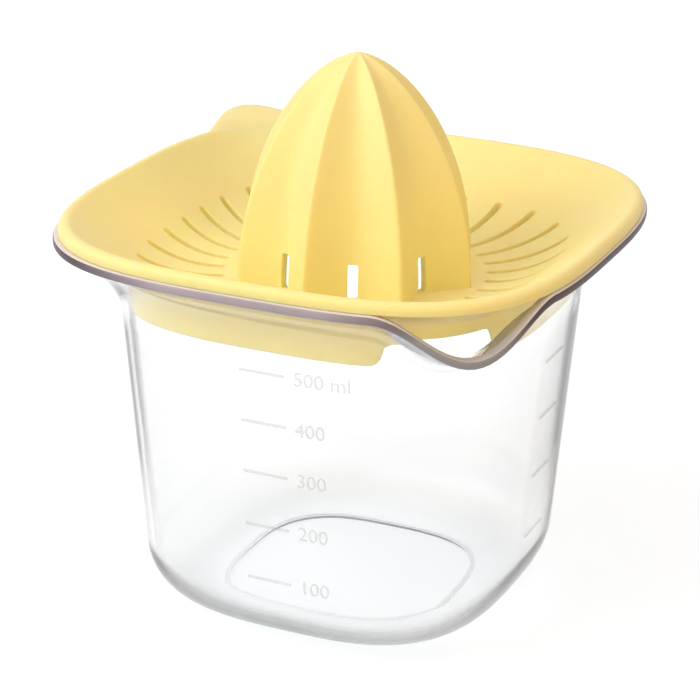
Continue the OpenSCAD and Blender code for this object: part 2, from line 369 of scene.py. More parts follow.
def tint_along(material, measure, ends, colour):
    """Runs a plastic's colour to another one as its Reach or its Height goes between two ends."""
    tree = material.node_tree
    shader = tree.nodes["Principled BSDF"]
    plain = shader.inputs["Base Color"].links[0].from_socket
    mask = spread_value(tree, add_place(tree)[measure], 0, 1, ends)
    tree.links.new(blend_colours(tree, mask, plain, colour), shader.inputs["Base Color"])


# %% The lip's painted shade and highlight
corner_painted_shade = (0.09, 0.072, 0.085)
spout_painted_shade = (0.29, 0.31, 0.36)
top_spout_shade = (0.52, 0.52, 0.57)
foot_alpha = 0.32

# The band: mauve grey painted shade, darker at the corners and a cooler painted grey at the spout.
lip_edge = painted_plastic("painted lip shade", dark=(0.37, 0.34, 0.41), pale=(0.45, 0.41, 0.48))
tint_along(lip_edge, "Reach", (65 * MM, 71 * MM), corner_painted_shade)
tint_along(lip_edge, "Height", (91.5 * MM, 88 * MM), spout_painted_shade)
# The same band with darker painted shade, for one side of the lip.
lip_shade = painted_plastic("painted side shade", dark=(0.075, 0.06, 0.074), pale=(0.10, 0.08, 0.098))
tint_along(lip_shade, "Height", (90 * MM, 84 * MM), spout_painted_shade)
# A painted highlight along the lip's top and on a strip inside it, with a greyer painted shade at the
# spout.
lip_top = painted_plastic("painted lip highlight", dark=(0.68, 0.63, 0.63), pale=(0.76, 0.71, 0.71))
tint_along(lip_top, "Height", (91 * MM, 85 * MM), top_spout_shade)
# Pale grey, partly see-through, painted on the step under the foot so that it shows as a pale line.
foot_edge = painted_plastic("painted foot line", dark=(0.74, 0.74, 0.75), pale=(0.84, 0.84, 0.85))
foot_edge.node_tree.nodes["Principled BSDF"].inputs["Alpha"].default_value = foot_alpha
print("materials:", lip_edge.name, lip_shade.name, lip_top.name, foot_edge.name)

# %% [markdown]
# ## The frosted marks
# The volume marks stand a little off the wall, and their tops are left dull from the mould, so that they
# read as pale grey. The wall itself could be displaced there, but thin raised pieces keep crisp edges at a
# low cost.

# %% Frosted plastic
frost_grey = (0.5, 0.5, 0.52)
frost_pale = (0.66, 0.66, 0.68)
frost_alpha = 0.2


def frosted_plastic():
    material, tree, shader, _ = new_material("frosted plastic")
    surface = add_surface(tree, flow_size=6 * MM, grain_size=0.3 * MM)
    feed(tree, shader, {
        "Base Color": blend_colours(tree, surface["Flow"], frost_grey, frost_pale),
        "Roughness": spread_value(tree, surface["Grain"], low=0.45, high=0.65),
        "Alpha": frost_alpha,
    })
    add_bump(tree, shader, surface["Grain"], strength=0.2, depth=0.05 * MM)
    return material


frosted = frosted_plastic()
print("material:", frosted.name)

# %% [markdown]
# ## Rounded squares and lofts
# Every level of both mouldings is a rounded square, somewhere between a circle and a square. One formula,
# with a squareness of 2 for a circle and more for a squarer shape, draws them all. A moulding is then a
# loft: one ring of edges is extruded again and again, and each new ring is put on the next level of the
# section. A spin would be shorter, but it makes round shapes only.

# %% Rounded squares
def square_r(n, t):
    """Radius at angle t of a rounded square of half width 1 and squareness n."""
    return (abs(math.cos(t)) ** n + abs(math.sin(t)) ** n) ** (-1 / n)


def half_width(point, n):
    """Half width of the rounded square of squareness n that a point lies on."""
    return (abs(point.x) ** n + abs(point.y) ** n) ** (1 / n)


def square_normal(point, n):
    """Level direction that points straight out of that rounded square."""
    x, y = (math.copysign(abs(c) ** (n - 1), c) for c in point.xy)
    return Vector((x, y, 0)).normalized()


def polar(r, t, z):
    return Vector((r * math.cos(t), r * math.sin(t), z))


print("corners of squareness 2, 3 and 4:", [round(square_r(n, math.pi / 4), 3) for n in (2, 3, 4)])


# %% Loft
def loft(columns, rings):
    """A skin through rings, each of which places a column. Vertices keep their column and row."""
    bm = bmesh.new()
    column = bm.verts.layers.int.new("column")
    row = bm.verts.layers.int.new("row")
    verts = bmesh.ops.create_circle(bm, segments=columns, radius=1)["verts"]
    for i, vert in enumerate(verts):
        vert[column] = i
    edges = list(bm.edges)
    for k, ring in enumerate(rings):
        if k:
            grown = bmesh.ops.extrude_edge_only(bm, edges=edges)["geom"]
            verts = [g for g in grown if isinstance(g, bmesh.types.BMVert)]
            fresh = set(verts)
            sides = [g for g in grown if isinstance(g, bmesh.types.BMEdge)]
            edges = [e for e in sides if fresh.issuperset(e.verts)]
        for vert in verts:
            vert.co = ring(vert[column])
            vert[row] = k
    return bm


def row_edges(bm, rows):
    """The edges that run along these rows."""
    row = bm.verts.layers.int["row"]
    return [e for e in bm.edges if e.verts[0][row] == e.verts[1][row] and e.verts[0][row] in rows]


def close_ends(bm, last):
    """Draws the first and the last ring together, each into one point."""
    row = bm.verts.layers.int["row"]
    for k in (0, last):
        ring = [v for v in bm.verts if v[row] == k]
        middle = sum((v.co for v in ring), Vector()) / len(ring)
        bmesh.ops.pointmerge(bm, verts=ring, merge_co=middle)


# %% Edges and pieces
def round_edges(bm, edges, radius, segments):
    bmesh.ops.bevel(
        bm,
        geom=edges,
        offset=radius,
        offset_type="OFFSET",
        segments=segments,
        profile=0.5,
        affect="EDGES",
        material=-1,
        clamp_overlap=False,
    )


def add_piece(bm, name, materials, sharp_angle):
    """The finished mesh as an object at the origin."""
    bmesh.ops.recalc_face_normals(bm, faces=bm.faces)
    mesh = bpy.data.meshes.new(name)
    bm.to_mesh(mesh)
    bm.free()
    mesh.shade_smooth()
    mesh.set_sharp_from_angle(angle=math.radians(sharp_angle))
    for material in materials:
        mesh.materials.append(material)
    piece = bpy.data.objects.new(name, mesh)
    scene.collection.objects.link(piece)
    print(name, len(mesh.vertices), "vertices,", len(mesh.polygons), "faces")
    return piece


# %% [markdown]
# ## The jug
# The jug is one thin shell: a foot with a shallow recess, a wall that leans out a little, a flare that
# curls out to a thick lip, and a corner of that lip pulled down for pouring. Its section runs up the
# outside, over the lip and back down the inside. A Solidify modifier could give the wall, but the lip is
# thicker than the wall. Inside the lip, a few rings follow the border of a strip with a painted highlight,
# so that the material changes along a row of edges.

# %% Jug sizes
_, jug_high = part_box("jug")
jug_h = jug_high[2]
lip_half = jug_high[0]
lip_t = 1.9 * MM
lip_seat = 2.4 * MM
lip_square = 3.3
foot_half = 44.2 * MM
body_half = 49.8 * MM
body_square = 3
flare_h = 18.5 * MM
wall_t = 1.3 * MM
lip_z = jug_h - lip_t
flare_z = lip_z - flare_h
draft = math.atan((body_half - foot_half) / flare_z)
jug_columns = 256
print("jug height", round(jug_h / MM, 2), "mm, half the lip's width", round(lip_half / MM, 2), "mm")
print("the wall leans out by", round(math.degrees(draft), 2), "degrees")


# %% Wall rings
def wall_half(z):
    """Half width of the body's straight wall at a height."""
    return foot_half + (body_half - foot_half) * z / flare_z


def jug_ring(half, n, height):
    """A ring of half width half and squareness n; height gives its level at an angle."""
    def place(i):
        t = math.tau * i / jug_columns
        return polar(half * square_r(n, t), t, height(t))
    return place


def level_ring(half, z):
    return jug_ring(half, body_square, lambda t: z)


def wall_rings(inset, low_z, steps):
    """Rings up the straight wall, between the base and the flare."""
    levels = [low_z + (flare_z - low_z) * k / steps for k in range(1, steps)]
    return [level_ring(wall_half(z) - inset, z) for z in levels]


print("half width halfway up the wall:", round(wall_half(flare_z / 2) / MM, 2), "mm")

# %% Flare and lip rings
flare_lean = math.radians(60)
flare_top = 0.86
spout_drop = 10 * MM
spout_span = math.radians(37)
spout_dir = math.radians(-45)
# Where the strip with the painted highlight inside the lip ends, below the top of the flare.
painted_strip_least = 0.012
painted_strip_more = 0.03
painted_strip_beside = 0.72


def lip_dip(t):
    """How far the lip lies below its own level at angle t: deepest at the spout."""
    away = abs((t - spout_dir + math.pi) % math.tau - math.pi)
    return spout_drop * math.cos(math.pi / 2 * min(1, 2 * away / spout_span)) ** 2


def flare_ring(share, inset):
    """Ring up the flare, a thickness inside its outer face; share gives how far up it is at an angle."""
    def place(i):
        t = math.tau * i / jug_columns
        s = share(t)
        lean = flare_lean * s
        out = (1 - math.cos(lean)) / (1 - math.cos(flare_lean))
        rise = math.sin(lean) / math.sin(flare_lean)
        half = body_half + (lip_half - body_half) * out - inset * math.cos(math.pi / 2 * s)
        lift = flare_z + inset * math.sin(math.pi / 2 * s)
        n = body_square + (lip_square - body_square) * s
        return polar(half * square_r(n, t), t, lift + (flare_h - lip_dip(t)) * rise)
    return place


def painted_strip_end(t):
    """How far up the flare the strip with the painted highlight inside the lip ends at angle t: lowest
    beside the spout.
    """
    dip = lip_dip(t) / spout_drop
    return flare_top - painted_strip_least - painted_strip_more * (1 - dip) - painted_strip_beside * dip * (1 - dip)


def lip_ring(inset, lift):
    return jug_ring(lip_half - inset, lip_square, lambda t: lip_z - lip_dip(t) + lift)


print("lip at the spout:", round((jug_h - lip_dip(spout_dir)) / MM, 2), "mm high")

# %% Base rings
base_r = 15 * MM
floor_t = 1.4 * MM
foot_recess = 0.8 * MM
foot_ring = 2.2 * MM
inside_z = foot_recess + floor_t
inside_r = base_r - wall_t


def base_middle(radius, floor_z, inset):
    """Half width at the middle of a rounding that touches a floor and the leaning wall."""
    return wall_half(floor_z + radius) - inset - radius / math.cos(draft)


def base_rings(radius, floor_z, inset, steps):
    """Rings up that rounding, from the floor to the wall."""
    turns = [(math.pi / 2 - draft) * k / steps for k in range(steps + 1)]
    middle = base_middle(radius, floor_z, inset)
    path = [(middle + radius * math.sin(a), floor_z + radius * (1 - math.cos(a))) for a in turns]
    return [level_ring(half, z) for half, z in path]


recess_half = base_middle(base_r, 0, 0) - foot_ring
print("half width of the foot recess:", round(recess_half / MM, 2), "mm")

# %% Jug section
base_steps = 14
wall_steps = 8
flare_steps = 22
painted_strip_steps = 4
pole_half = 1 * MM
recess_flat = recess_half - 2.5 * MM
recess_step = recess_half - 0.5 * MM

foot_rings = [level_ring(half, foot_recess) for half in (pole_half, recess_flat, recess_step)]
foot_rings.append(level_ring(recess_half, 0))
outer_rings = base_rings(base_r, 0, 0, base_steps) + wall_rings(0, base_r, wall_steps)
outer_rings += [flare_ring(lambda t, s=k / flare_steps: s, 0) for k in range(flare_steps + 1)]
lip_rings = [lip_ring(0, lip_t), lip_ring(lip_seat, lip_t)]
inner_rings = []
for k in range(painted_strip_steps):
    way = k / painted_strip_steps
    inner_rings.append(flare_ring(lambda t, w=way: flare_top + (painted_strip_end(t) - flare_top) * w, wall_t))
for k in range(flare_steps, -1, -1):
    inner_rings.append(flare_ring(lambda t, w=k / flare_steps: painted_strip_end(t) * w, wall_t))
inner_rings += wall_rings(wall_t, inside_z + inside_r, wall_steps)[::-1]
inner_rings += base_rings(inside_r, inside_z, wall_t, base_steps)[::-1]
inner_rings.append(level_ring(pole_half, inside_z))
jug_rings = foot_rings + outer_rings + lip_rings + inner_rings
print("jug rings:", len(jug_rings))

# %% Jug skin
lip_round = 0.65 * MM
lip_border_round = 0.4 * MM
recess_round = 0.35 * MM
lip_row = len(foot_rings) + len(outer_rings)
recess_row = len(foot_rings) - 1

bm = loft(jug_columns, jug_rings)
close_ends(bm, len(jug_rings) - 1)
round_edges(bm, row_edges(bm, {lip_row}), lip_round, segments=4)
round_edges(bm, row_edges(bm, {lip_row - 1, lip_row + 1}), lip_border_round, segments=3)
round_edges(bm, row_edges(bm, {recess_row - 1, recess_row}), recess_round, segments=3)
bmesh.ops.recalc_face_normals(bm, faces=bm.faces)
print("jug faces:", len(bm.faces), "open edges:", sum(e.is_boundary for e in bm.edges))

# %% Jug shell
lip_slope = math.radians(40)
recess_mid = (recess_half + recess_step) / 2
recess_band = 0.6 * MM
painted_strip_rows = range(lip_row + 1, lip_row + 3 + painted_strip_steps)
jug_materials = [clear, lip_edge, lip_top, foot_edge, lip_shade]
row = bm.verts.layers.int["row"]


def face_material(face):
    """The material of one face of the jug: clear plastic, or a dull plastic with painted shade, highlight
    or line.
    """
    middle = face.calc_center_median()
    if half_width(middle, lip_square) > lip_half - lip_seat and face.normal.z > -math.cos(lip_slope):
        # On the lip, faces that don't lean out get the painted highlight, the others the band's painted
        # shade.
        if face.normal.dot(square_normal(middle, lip_square)) <= math.sin(lip_slope):
            return lip_top
        # Painted shade: the band is darker on the side where x + y is positive.
        return lip_shade if middle.x + middle.y > 0 else lip_edge
    # The strip inside the lip gets the painted highlight too.
    if all(v[row] in painted_strip_rows for v in face.verts):
        return lip_top
    # The step under the foot gets the painted pale grey line.
    if middle.z < foot_recess and abs(half_width(middle, body_square) - recess_mid) < recess_band:
        return foot_edge
    return clear


for face in bm.faces:
    face.material_index = jug_materials.index(face_material(face))
jug = add_piece(bm, "jug_shell", jug_materials, sharp_angle=60)
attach(jug, "jug")
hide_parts("jug")

# %% [markdown]
# ## The volume marks
# Raised lines mark each 100 ml on one face, with their numbers, and every 4 fluid ounces on the next face.
# The numbers come from Blender's own font: a text object is made a mesh first, then every vertex is pressed
# on the curved wall. A Shrinkwrap modifier could do that too, but the wall's formula is exact and quick.

# %% Mark sizes
ml_step = 100
ml_heights = [18.7 * MM, 32.7 * MM, 46.2 * MM, 58.95 * MM, 71.45 * MM]
oz_heights = [20.7 * MM, 36.45 * MM, 51.45 * MM, 65.7 * MM]
ml_face = math.radians(-90)
oz_face = 0
oz_side = 3 * MM
mark_len = 11 * MM
mark_w = 0.7 * MM
mark_rise = 0.3 * MM
mark_sink = 0.05 * MM
mark_lift = (mark_rise - mark_sink) / 2
mark_round = 0.14 * MM
number_size = 4.9 * MM
number_start = 7.6 * MM
number_drop = 1.75 * MM
number_thin = 0.05 * MM
print("marks:", len(ml_heights), "for millilitres,", len(oz_heights), "for fluid ounces")


# %% Raised lines
def press_on_wall(verts, face, side, height):
    """Lays flat work on the jug's wall: x runs along the face, y up and z outwards."""
    turned = Matrix.Rotation(face, 3, "Z")
    for vert in verts:
        across, z = vert.co.x + side, vert.co.y + height
        half = wall_half(z)
        out = (half ** body_square - abs(across) ** body_square) ** (1 / body_square)
        vert.co = turned @ Vector((out + mark_lift + vert.co.z, across, z))


def add_mark(bm, face, side, height):
    """One raised line with rounded edges."""
    known = set(bm.verts)
    size = Matrix.Diagonal((mark_len, mark_w, mark_rise + mark_sink, 1))
    bar = bmesh.ops.create_cube(bm, size=1, matrix=size)["verts"]
    edges = list({e for v in bar for e in v.link_edges})
    round_edges(bm, edges, mark_round, segments=2)
    press_on_wall(set(bm.verts) - known, face, side, height)


# %% Numbers
def number_mesh(words):
    """The words as a mesh with a little thickness, starting at the origin."""
    text = bpy.data.curves.new("number", "FONT")
    text.body = words
    text.size = number_size
    text.extrude = (mark_rise + mark_sink) / 2
    text.offset = -number_thin
    text.resolution_u = 4
    holder = bpy.data.objects.new("number", text)
    scene.collection.objects.link(holder)
    ready = holder.evaluated_get(bpy.context.evaluated_depsgraph_get())
    mesh = bpy.data.meshes.new_from_object(ready)
    bpy.data.objects.remove(holder)
    bpy.data.curves.remove(text)
    return mesh


def add_number(bm, words, height):
    mesh = number_mesh(words)
    known = set(bm.verts)
    bm.from_mesh(mesh)
    bpy.data.meshes.remove(mesh)
    press_on_wall(set(bm.verts) - known, ml_face, number_start, height - number_drop)


# %% Scale marks
bm = bmesh.new()
for count, height in enumerate(ml_heights, start=1):
    unit = " ml" if count == len(ml_heights) else ""
    add_mark(bm, ml_face, 0, height)
    add_number(bm, f"{ml_step * count}{unit}", height)
for height in oz_heights:
    add_mark(bm, oz_face, oz_side, height)
marks = add_piece(bm, "scale_marks", [frosted], sharp_angle=40)
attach(marks, "jug")

# %% [markdown]
# ## The juicer
# The juicer is one moulding too: a fluted cone in a dish with strainer slots, a rolled rim with a lift tab
# at one corner, and a skirt below that keeps it in the jug's mouth. Its section runs from the top of the
# cone's hollow down, out along the underside, round the skirt, over the rim and back in to the cone's tip.
# Cone, dish and skirt could be modelled apart and joined, but a single section leaves no seams to hide.

# %% Cone and dish sizes
seat_gap = 0.3 * MM
rim_inset = 0.6 * MM
rim_rise = 2.5 * MM
rim_r = 1.7 * MM
rim_square = 3.18
dish_depth = 16.5 * MM
dish_r = 22.4 * MM
shell_t = 1.8 * MM
cone_r = 29.2 * MM
cone_h = 52.4 * MM
cone_taper = 0.65
cone_t = 2.2 * MM
tip_t = 3.6 * MM
well_gap = 1.5 * MM
seat_z = jug_h + seat_gap
rim_half = lip_half - rim_inset
crest_z = seat_z + rim_rise
dish_z = crest_z - dish_depth
under_r = dish_r + shell_t
bore_r = cone_r - cone_t
bore_h = cone_h - tip_t
well_half = cone_r + well_gap
print("dish floor at", round(dish_z / MM, 2), "mm, cone tip at", round((dish_z + cone_h) / MM, 2), "mm")

# %% Dish section
dish_mid = Vector((well_half, dish_z + dish_r))
rim_mid = Vector((rim_half - rim_r, crest_z - rim_r))
apart = rim_mid - dish_mid
dish_lean = math.asin((dish_r + rim_r) / apart.length) + math.atan2(apart.y, apart.x)
bowl_end = well_half + dish_r * math.sin(dish_lean)
print("dish wall leans", round(math.degrees(dish_lean), 2), "degrees")
print("and starts at half width", round(bowl_end / MM, 2), "mm")


def dish_level(half, radius):
    """Height of a dish face at a half width: flat, then an arc of that radius, then a straight wall."""
    foot = well_half + radius * math.sin(dish_lean)
    if half <= well_half:
        return dish_mid.y - radius
    if half < foot:
        return dish_mid.y - math.sqrt(radius ** 2 - (half - well_half) ** 2)
    return dish_mid.y - radius * math.cos(dish_lean) + (half - foot) * math.tan(dish_lean)


def dish_square(half):
    """Squareness of the dish: round at the cone, square at the rim."""
    return 2 + (rim_square - 2) * max(0, min(1, (half - well_half) / (bowl_end - well_half)))


# %% [markdown]
# ### Rings with room for slots
# Strainer slots and drains could be cut with Boolean modifiers, but those leave uneven faces round each
# cut. Here every ring is split into sectors, and the two columns in the middle of a sector step aside by
# half the width of the opening. So the edges of an opening are rows and columns of the loft itself.

# %% Juicer columns
flutes = 8
sectors = 32
sector_columns = 12
half_sector = math.pi / sectors
plain_edge = half_sector / sector_columns
juicer_columns = sectors * sector_columns
slot_sectors = set(range(sectors))
drain_sectors = {s for s in range(sectors) if s % (sectors // flutes) == sectors // flutes // 2}
print("columns:", juicer_columns, "sectors with a drain:", sorted(drain_sectors))


def column_angle(i, edge):
    """Angle of a column, where the two columns at the middle of its sector stand edge to each side."""
    sector, place = divmod(i, sector_columns)
    steps = (sector_columns - 1) / 2
    side = place - steps
    turn = edge + (half_sector - edge) * (abs(side) - 0.5) / steps
    return math.tau * sector / sectors + math.copysign(turn, side)


def juicer_ring(shape, gap=0, gap_sectors=frozenset()):
    """Ring of a shape, which gives radius and height at an angle, past openings of half width gap."""
    def place(i):
        sector = i // sector_columns
        edge = plain_edge
        if sector in gap_sectors:
            edge = math.asin(gap / shape(math.tau * sector / sectors)[0])
        t = column_angle(i, edge)
        r, z = shape(t)
        return polar(r, t, z)
    return place


# %% Cone and dish shapes
flute_depth = 7 * MM
ridge_round = 0.035


def flute_share(t):
    """Share of the ridge's radius at an angle: 1 on a slightly rounded ridge, least in a flute."""
    off = 1 - abs((t * flutes / math.pi) % 2 - 1)
    soft = math.hypot(off, ridge_round) - ridge_round
    return 1 - flute_depth / cone_r * soft * (2 - soft)


def cone_shape(radius, height, z, out=0):
    """A fluted cone's section at a height above the dish's floor."""
    ridge = radius * (1 - (z / height) ** 2) ** cone_taper
    return lambda t: (ridge * flute_share(t) + out, dish_z + z)


def dish_shape(half, z):
    n = dish_square(half)
    return lambda t: (half * square_r(n, t), z)


def dish_ring(half, radius, gap=0, gap_sectors=frozenset()):
    """Ring on the dish's upper or lower face, by the radius of its arc."""
    return juicer_ring(dish_shape(half, dish_level(half, radius)), gap, gap_sectors)


print("least share of the ridge's radius:", round(min(map(flute_share, (0, math.pi / flutes))), 3))

# %% Slot and drain rows
slot_w = 1.8 * MM
slot_end = 46.1 * MM
slot_turns = [math.radians(a) for a in (65, 40, 15)]
slot_steps = 9
drain_w = 2.4 * MM
drain_low = 0.4 * MM
drain_h = 8.8 * MM
drain_corner = 0.5 * MM
drain_turns = [math.radians(a) for a in (70, 40, 0)]
drain_steps = 5


def slot_rows():
    """Half widths of the rings past the slots, with half the slot's width at each, rounded at both ends."""
    r = slot_w / 2
    first = [(well_half + r * (1 - math.sin(a)), r * math.cos(a)) for a in slot_turns]
    last = [(slot_end - r * (1 - math.sin(a)), r * math.cos(a)) for a in reversed(slot_turns)]
    low, high = well_half + r, slot_end - r
    return first + [(low + (high - low) * k / slot_steps, r) for k in range(slot_steps + 1)] + last


def drain_rows():
    """Heights of the rings past the drains, with half the drain's width at each, with rounded corners."""
    half = drain_w / 2
    ends = [(drain_corner * (1 - math.sin(a)), drain_corner * (1 - math.cos(a))) for a in drain_turns]
    first = [(drain_low + lift, half - narrow) for lift, narrow in ends]
    last = [(drain_h - lift, half - narrow) for lift, narrow in reversed(ends)]
    low, high = first[-1][0], last[0][0]
    return first + [(low + (high - low) * k / drain_steps, half) for k in range(1, drain_steps)] + last


slots = slot_rows()
drains = drain_rows()
print("rings past a slot:", len(slots), "and past a drain:", len(drains))

# %% Skirt shape
juicer_low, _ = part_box("juicer")
skirt_z = juicer_low[2]
skirt_gap = 0.45 * MM
skirt_t = 1.6 * MM
skirt_half = wall_half(skirt_z) - wall_t - skirt_gap
skirt_in = skirt_half - skirt_t
notch_half = 13 * MM
notch_h = 6 * MM
notch_r = 3 * MM
print("skirt from", round(skirt_in / MM, 2), "to", round(skirt_half / MM, 2), "mm half width")


def notch_lift(v):
    """How far the skirt's edge rises at a distance v from the middle of the notch."""
    v = abs(v)
    low, high = notch_half + notch_r, notch_half - notch_r
    if v >= low:
        return 0
    if v > notch_half:
        return notch_r - math.sqrt(notch_r ** 2 - (low - v) ** 2)
    if v > high:
        return notch_h - notch_r + math.sqrt(notch_r ** 2 - (v - high) ** 2)
    return notch_h


def skirt_shape(half, share, lift):
    """The skirt at a half width: share 0 is its lower edge and 1 is where it leaves the dish."""
    root = dish_level(half, under_r)

    def shape(t):
        r = half * square_r(body_square, t)
        ahead = math.cos(t - spout_dir) > 0
        edge = skirt_z + lift + (notch_lift(r * math.sin(t - spout_dir)) if ahead else 0)
        return r, edge + (root - edge) * share
    return shape


# %% [markdown]
# ### The rim and its lift tab
# The rim is a small roll, and at the corner opposite the spout it runs out into a flat tab for a finger. A
# tab could be a plate of its own that meets the rim, but a moulding has no seam there. So each point of the
# rim's section slides to a point of the tab's section as the angle nears the tab.

# %% Tab shape
tab_dir = math.radians(135)
tab_reach = 13.8 * MM
tab_spread = math.radians(14)
tab_foot = 1.2 * MM
tab_blend = 8 * MM


def smooth_step(x):
    """Goes from 0 to 1 with level ends as x does."""
    x = min(1, x)
    return x * x * (3 - 2 * x)


def tab_bump(t):
    """How far the lift tab stands out past the rim at an angle."""
    off = abs((t - tab_dir + math.pi) % math.tau - math.pi) / tab_spread
    return tab_reach * (1 - smooth_step(off))


def tab_share(t):
    """0 away from the lift tab and 1 on it."""
    return smooth_step(tab_bump(t) / tab_foot)


def tab_dip(t, out):
    """How far the crest is lowered on the tab, at a distance out from it, to blend dish and tab."""
    near = max(0, tab_blend - abs(out))
    return smooth_step(tab_bump(t) / tab_reach) * math.tan(dish_lean) * near ** 2 / (4 * tab_blend)


print("the tab stands out by", round(tab_bump(tab_dir) / MM, 2), "mm")


# %% Rim shape
def rim_shape(half, z, tab_out, tab_z, top=False):
    """A point of the rim's section, which moves to a point of the tab's section where the tab stands out.
    tab_out(root, reach) is the distance from the crest and tab_z(share) the height there."""
    def shape(t):
        r = half * square_r(rim_square, t)
        way = tab_share(t)
        middle = rim_mid.x * square_r(rim_square, t)
        root = rim_half * square_r(rim_square, t) - middle
        out = tab_out(root, root + tab_bump(t))
        level = z + (tab_z(out / (root + tab_reach)) - z) * way
        if top:
            level -= tab_dip(t, r + (middle + out - r) * way - middle)
        return r + (middle + out - r) * way, level
    return shape


def wall_shape(half, z):
    """The dish's wall below the crest, lowered a little at the tab."""
    shape = dish_shape(half, z)

    def lowered(t):
        r, level = shape(t)
        return r, level - tab_dip(t, r - rim_mid.x * square_r(rim_square, t))
    return lowered


# %% Rim from below
rim_corner = 0.25 * MM
rim_gap = 0.05 * MM
rim_low = jug_h + rim_gap
rim_turns = (90, 68, 45, 23, 0)
face_steps = 5
tab_t = 2.2 * MM
tab_rise = 0.8 * MM
tab_edge = tab_t / 2
tab_low = crest_z - tab_t
tab_shares = (0.08, 0.4, 0.7, 1)


def rim_below():
    """Shapes round the rim's lower corner and up its face, which run out along the tab's underside."""
    shapes = []
    for a in map(math.radians, rim_turns):
        half = rim_half - rim_corner * (1 - math.cos(a))
        z = rim_low + rim_corner * (1 - math.sin(a))
        shapes.append(rim_shape(
            half,
            z,
            lambda root, reach, h=half: root + h - rim_half,
            lambda share, z=z: z,
        ))
    face_low = rim_low + rim_corner
    for k, out_share in enumerate(tab_shares, start=1):
        shapes.append(rim_shape(
            rim_half,
            face_low + (rim_mid.y - face_low) * k / face_steps,
            lambda root, reach, s=out_share: root + (reach - tab_edge - root) * s,
            lambda share: tab_low + tab_rise * share,
        ))
    return shapes


# %% Rim from above
arc_steps = 9
edge_steps = 5
edge_start = 150
edge_turn = 30


def rim_above():
    """Shapes over the rim's roll, which run round the tab's edge and back along its top."""
    shapes = []
    for k in range(arc_steps + 1):
        a = math.radians(90 * k / arc_steps)
        half = rim_mid.x + rim_r * math.cos(a)
        z = rim_mid.y + rim_r * math.sin(a)
        if k < edge_steps:
            b = math.radians(edge_start - edge_turn * k)
            shapes.append(rim_shape(
                half,
                z,
                lambda root, reach, b=b: reach - tab_edge + tab_edge * math.sin(b),
                lambda share, b=b: tab_low + tab_edge + tab_edge * math.cos(b) + tab_rise * share,
            ))
        else:
            shapes.append(rim_shape(
                half,
                z,
                lambda root, reach, s=(arc_steps - k) / (arc_steps - edge_steps): (reach - tab_edge) * s,
                lambda share: crest_z + tab_rise * share,
                top=True,
            ))
    return shapes


rim_shapes = rim_below() + rim_above()
print("rings round the rim:", len(rim_shapes))

# %% [markdown]
# ### The section, ring by ring
# The rings are now listed along the section, from the hollow to the tip. The list could be one long table
# of radii and heights, but short runs that each belong to one feature are easier to change. The first row
# of each run with openings is noted, because the two skins are joined there later.

# %% Hollow and underside rings
tip_turn = math.radians(89)
bore_steps = 16
bore_clear = 1 * MM
well_step = 0.4 * MM

hollow = [bore_h * math.sin(tip_turn * k / bore_steps) for k in range(bore_steps, 0, -1)]
rings = [juicer_ring(cone_shape(bore_r, bore_h, z)) for z in hollow if z > drain_h + bore_clear]
bore_drains = len(rings)
rings += [juicer_ring(cone_shape(bore_r, bore_h, z), gap, drain_sectors) for z, gap in reversed(drains)]
rings.append(juicer_ring(cone_shape(bore_r, bore_h, 0)))
bore_edge = len(rings)
rings.append(juicer_ring(lambda t: (bore_r * flute_share(t), dish_z - shell_t)))
rings.append(juicer_ring(dish_shape(well_half - well_step, dish_z - shell_t)))
under_slots = len(rings)
rings += [dish_ring(half, under_r, gap, slot_sectors) for half, gap in slots]
print("rings to the end of the slots below:", len(rings))

# %% Skirt and rim rings
skirt_corner = 0.4 * MM
tight = skirt_corner * (1 - math.sin(math.radians(45)))
skirt_levels = (1, 0.6, 0.3, 0)
seat_shares = (0.2, 0.5, 0.8, 1)

skirt_path = [(skirt_in, share, skirt_corner) for share in skirt_levels]
skirt_path += [(skirt_in + tight, 0, tight), (skirt_in + skirt_corner, 0, 0)]
skirt_path += [(skirt_half - skirt_corner, 0, 0), (skirt_half - tight, 0, tight)]
skirt_path += [(skirt_half, share, skirt_corner) for share in reversed(skirt_levels)]
rings += [juicer_ring(skirt_shape(*point)) for point in skirt_path]
under_end = well_half + under_r * math.sin(dish_lean)
seat_half = under_end + (seat_z - dish_level(under_end, under_r)) / math.tan(dish_lean)
rings += [dish_ring(skirt_half + (seat_half - skirt_half) * share, under_r) for share in seat_shares]
seat_row = len(rings) - 1
rings.append(juicer_ring(dish_shape((seat_half + rim_half) / 2, seat_z)))
rings += [juicer_ring(shape) for shape in rim_shapes]
print("rings to the rim's crest:", len(rings))

# %% Dish rings
crest_steps = 4
wall_shares = (0.12, 0.25, 0.4, 0.6, 0.8, 0.95)

for k in range(1, crest_steps + 1):
    a = math.pi / 2 + dish_lean * k / crest_steps
    crest = wall_shape(rim_mid.x + rim_r * math.cos(a), rim_mid.y + rim_r * math.sin(a))
    rings.append(juicer_ring(crest))
wall_top = rim_mid.x - rim_r * math.sin(dish_lean)
for share in wall_shares:
    half = wall_top + (slot_end - wall_top) * share
    rings.append(juicer_ring(wall_shape(half, dish_level(half, dish_r))))
top_slots = len(rings)
rings += [dish_ring(half, dish_r, gap, slot_sectors) for half, gap in reversed(slots)]
print("rings to the cone's foot:", len(rings))

# %% Cone rings
cone_steps = 34
cone_clear = 0.6 * MM
fillet_r = 0.3 * MM
fillet_turns = (0, 30, 60, 90)

